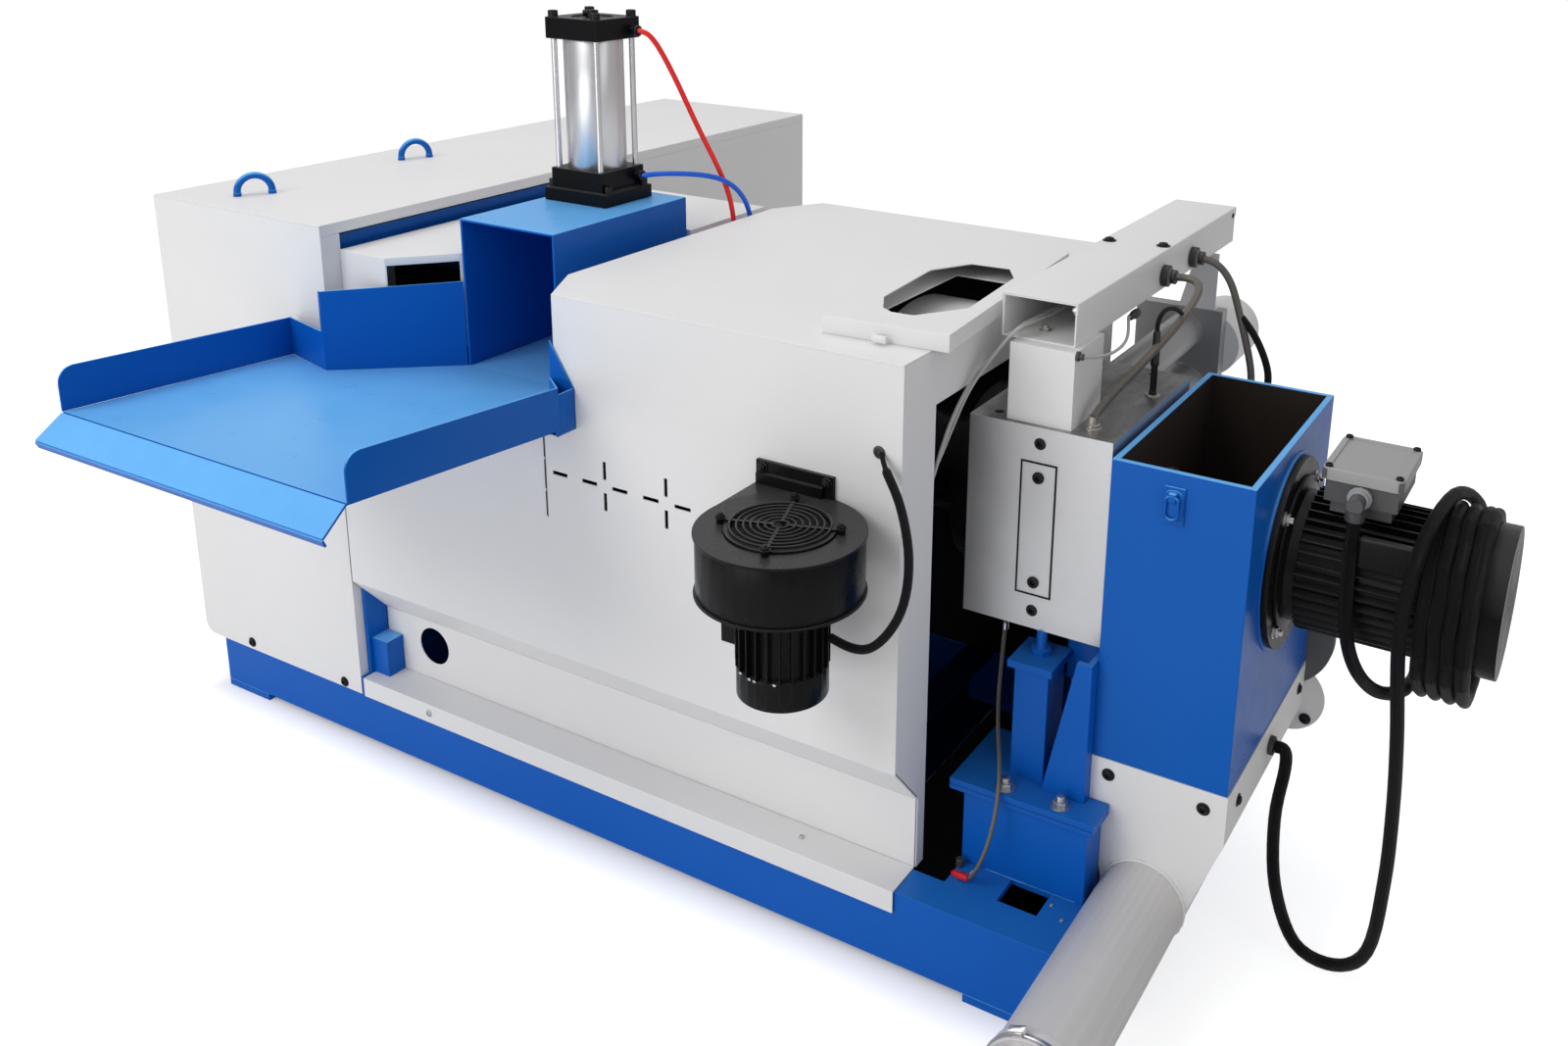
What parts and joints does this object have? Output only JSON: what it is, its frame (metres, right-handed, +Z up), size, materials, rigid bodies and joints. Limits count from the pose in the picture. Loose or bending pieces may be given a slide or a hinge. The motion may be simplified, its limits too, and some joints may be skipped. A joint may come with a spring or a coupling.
{
  "type": "plastic pelletizing machine",
  "caption": "Plastic film pelletizing machine: drive cabinet, feed tray with air ram, extruder housing with blower, die block and water-ring cutter with discharge pipe.",
  "frame": {"origin": "middle of the underside of the front left foot plate, on the floor", "axes": "+X along the extruder towards the die and cutter, +Y away from the operator, +Z up"},
  "size_m": [2.924, 2.4976, 1.69],
  "materials": {
    "blue_paint": "semi-gloss",
    "white_paint": "satin",
    "black_paint": "semi-gloss",
    "polished_aluminium": "polished",
    "ground_steel": "ground",
    "grey_metal": "matt",
    "black_conduit": "matt",
    "braided_hose": "braided",
    "red_hose": "gloss",
    "blue_hose": "gloss"
  },
  "bodies": {
    "root": {"foot_plates": "blue_paint", "base_rails": "blue_paint", "base_cross_rails": "blue_paint", "die_end_deck": "blue_paint", "cabinet_base_frame": "blue_paint", "cabinet_front_panel": "white_paint", "cabinet_side_panels": "white_paint", "cabinet_roof": "white_paint", "cabinet_beam": "blue_paint", "lifting_eyes": "blue_paint", "gearbox": "black_paint", "gearbox_cover": "white_paint", "throat_hood": "blue_paint", "cylinder_foot": "black_paint", "cylinder_tube": "polished_aluminium", "tie_rods": "polished_aluminium", "cylinder_head": "black_paint", "red_air_hose": "red_hose", "blue_air_hose": "blue_hose", "tray_floor": "blue_paint", "tray_walls": "blue_paint", "housing_front": "white_paint", "housing_skirt": "white_paint", "housing_rear": "white_paint", "housing_top": "white_paint", "housing_left_side": "white_paint", "housing_end_frame": "white_paint", "access_lid": "white_paint", "extruder_barrel": "black_paint", "barrel_jacket": "white_paint", "sill_cover": "white_paint", "corner_post": "blue_paint", "blower_scroll": "black_paint", "blower_guard": "black_paint", "blower_motor": "black_paint", "blower_conduit": "black_conduit", "die_block": "ground_steel", "die_cover_strip": "ground_steel", "cable_beam": "white_paint", "hose_fittings": "black_paint", "beam_hoses": "braided_hose", "changer_cylinder": "grey_metal", "changer_tail": "white_paint", "pedestal": "blue_paint", "die_supports": "blue_paint", "cutter_box": "blue_paint", "cutter_rotor": "ground_steel", "box_latch": "blue_paint", "discharge_hood": "white_paint", "discharge_pipe": "grey_metal", "motor_flange": "black_paint", "cutter_motor": "black_paint", "terminal_box": "grey_metal", "cable_coil": "black_conduit", "motor_conduit": "black_conduit", "sensor_cable": "braided_hose"}
  },
  "joints": []
}
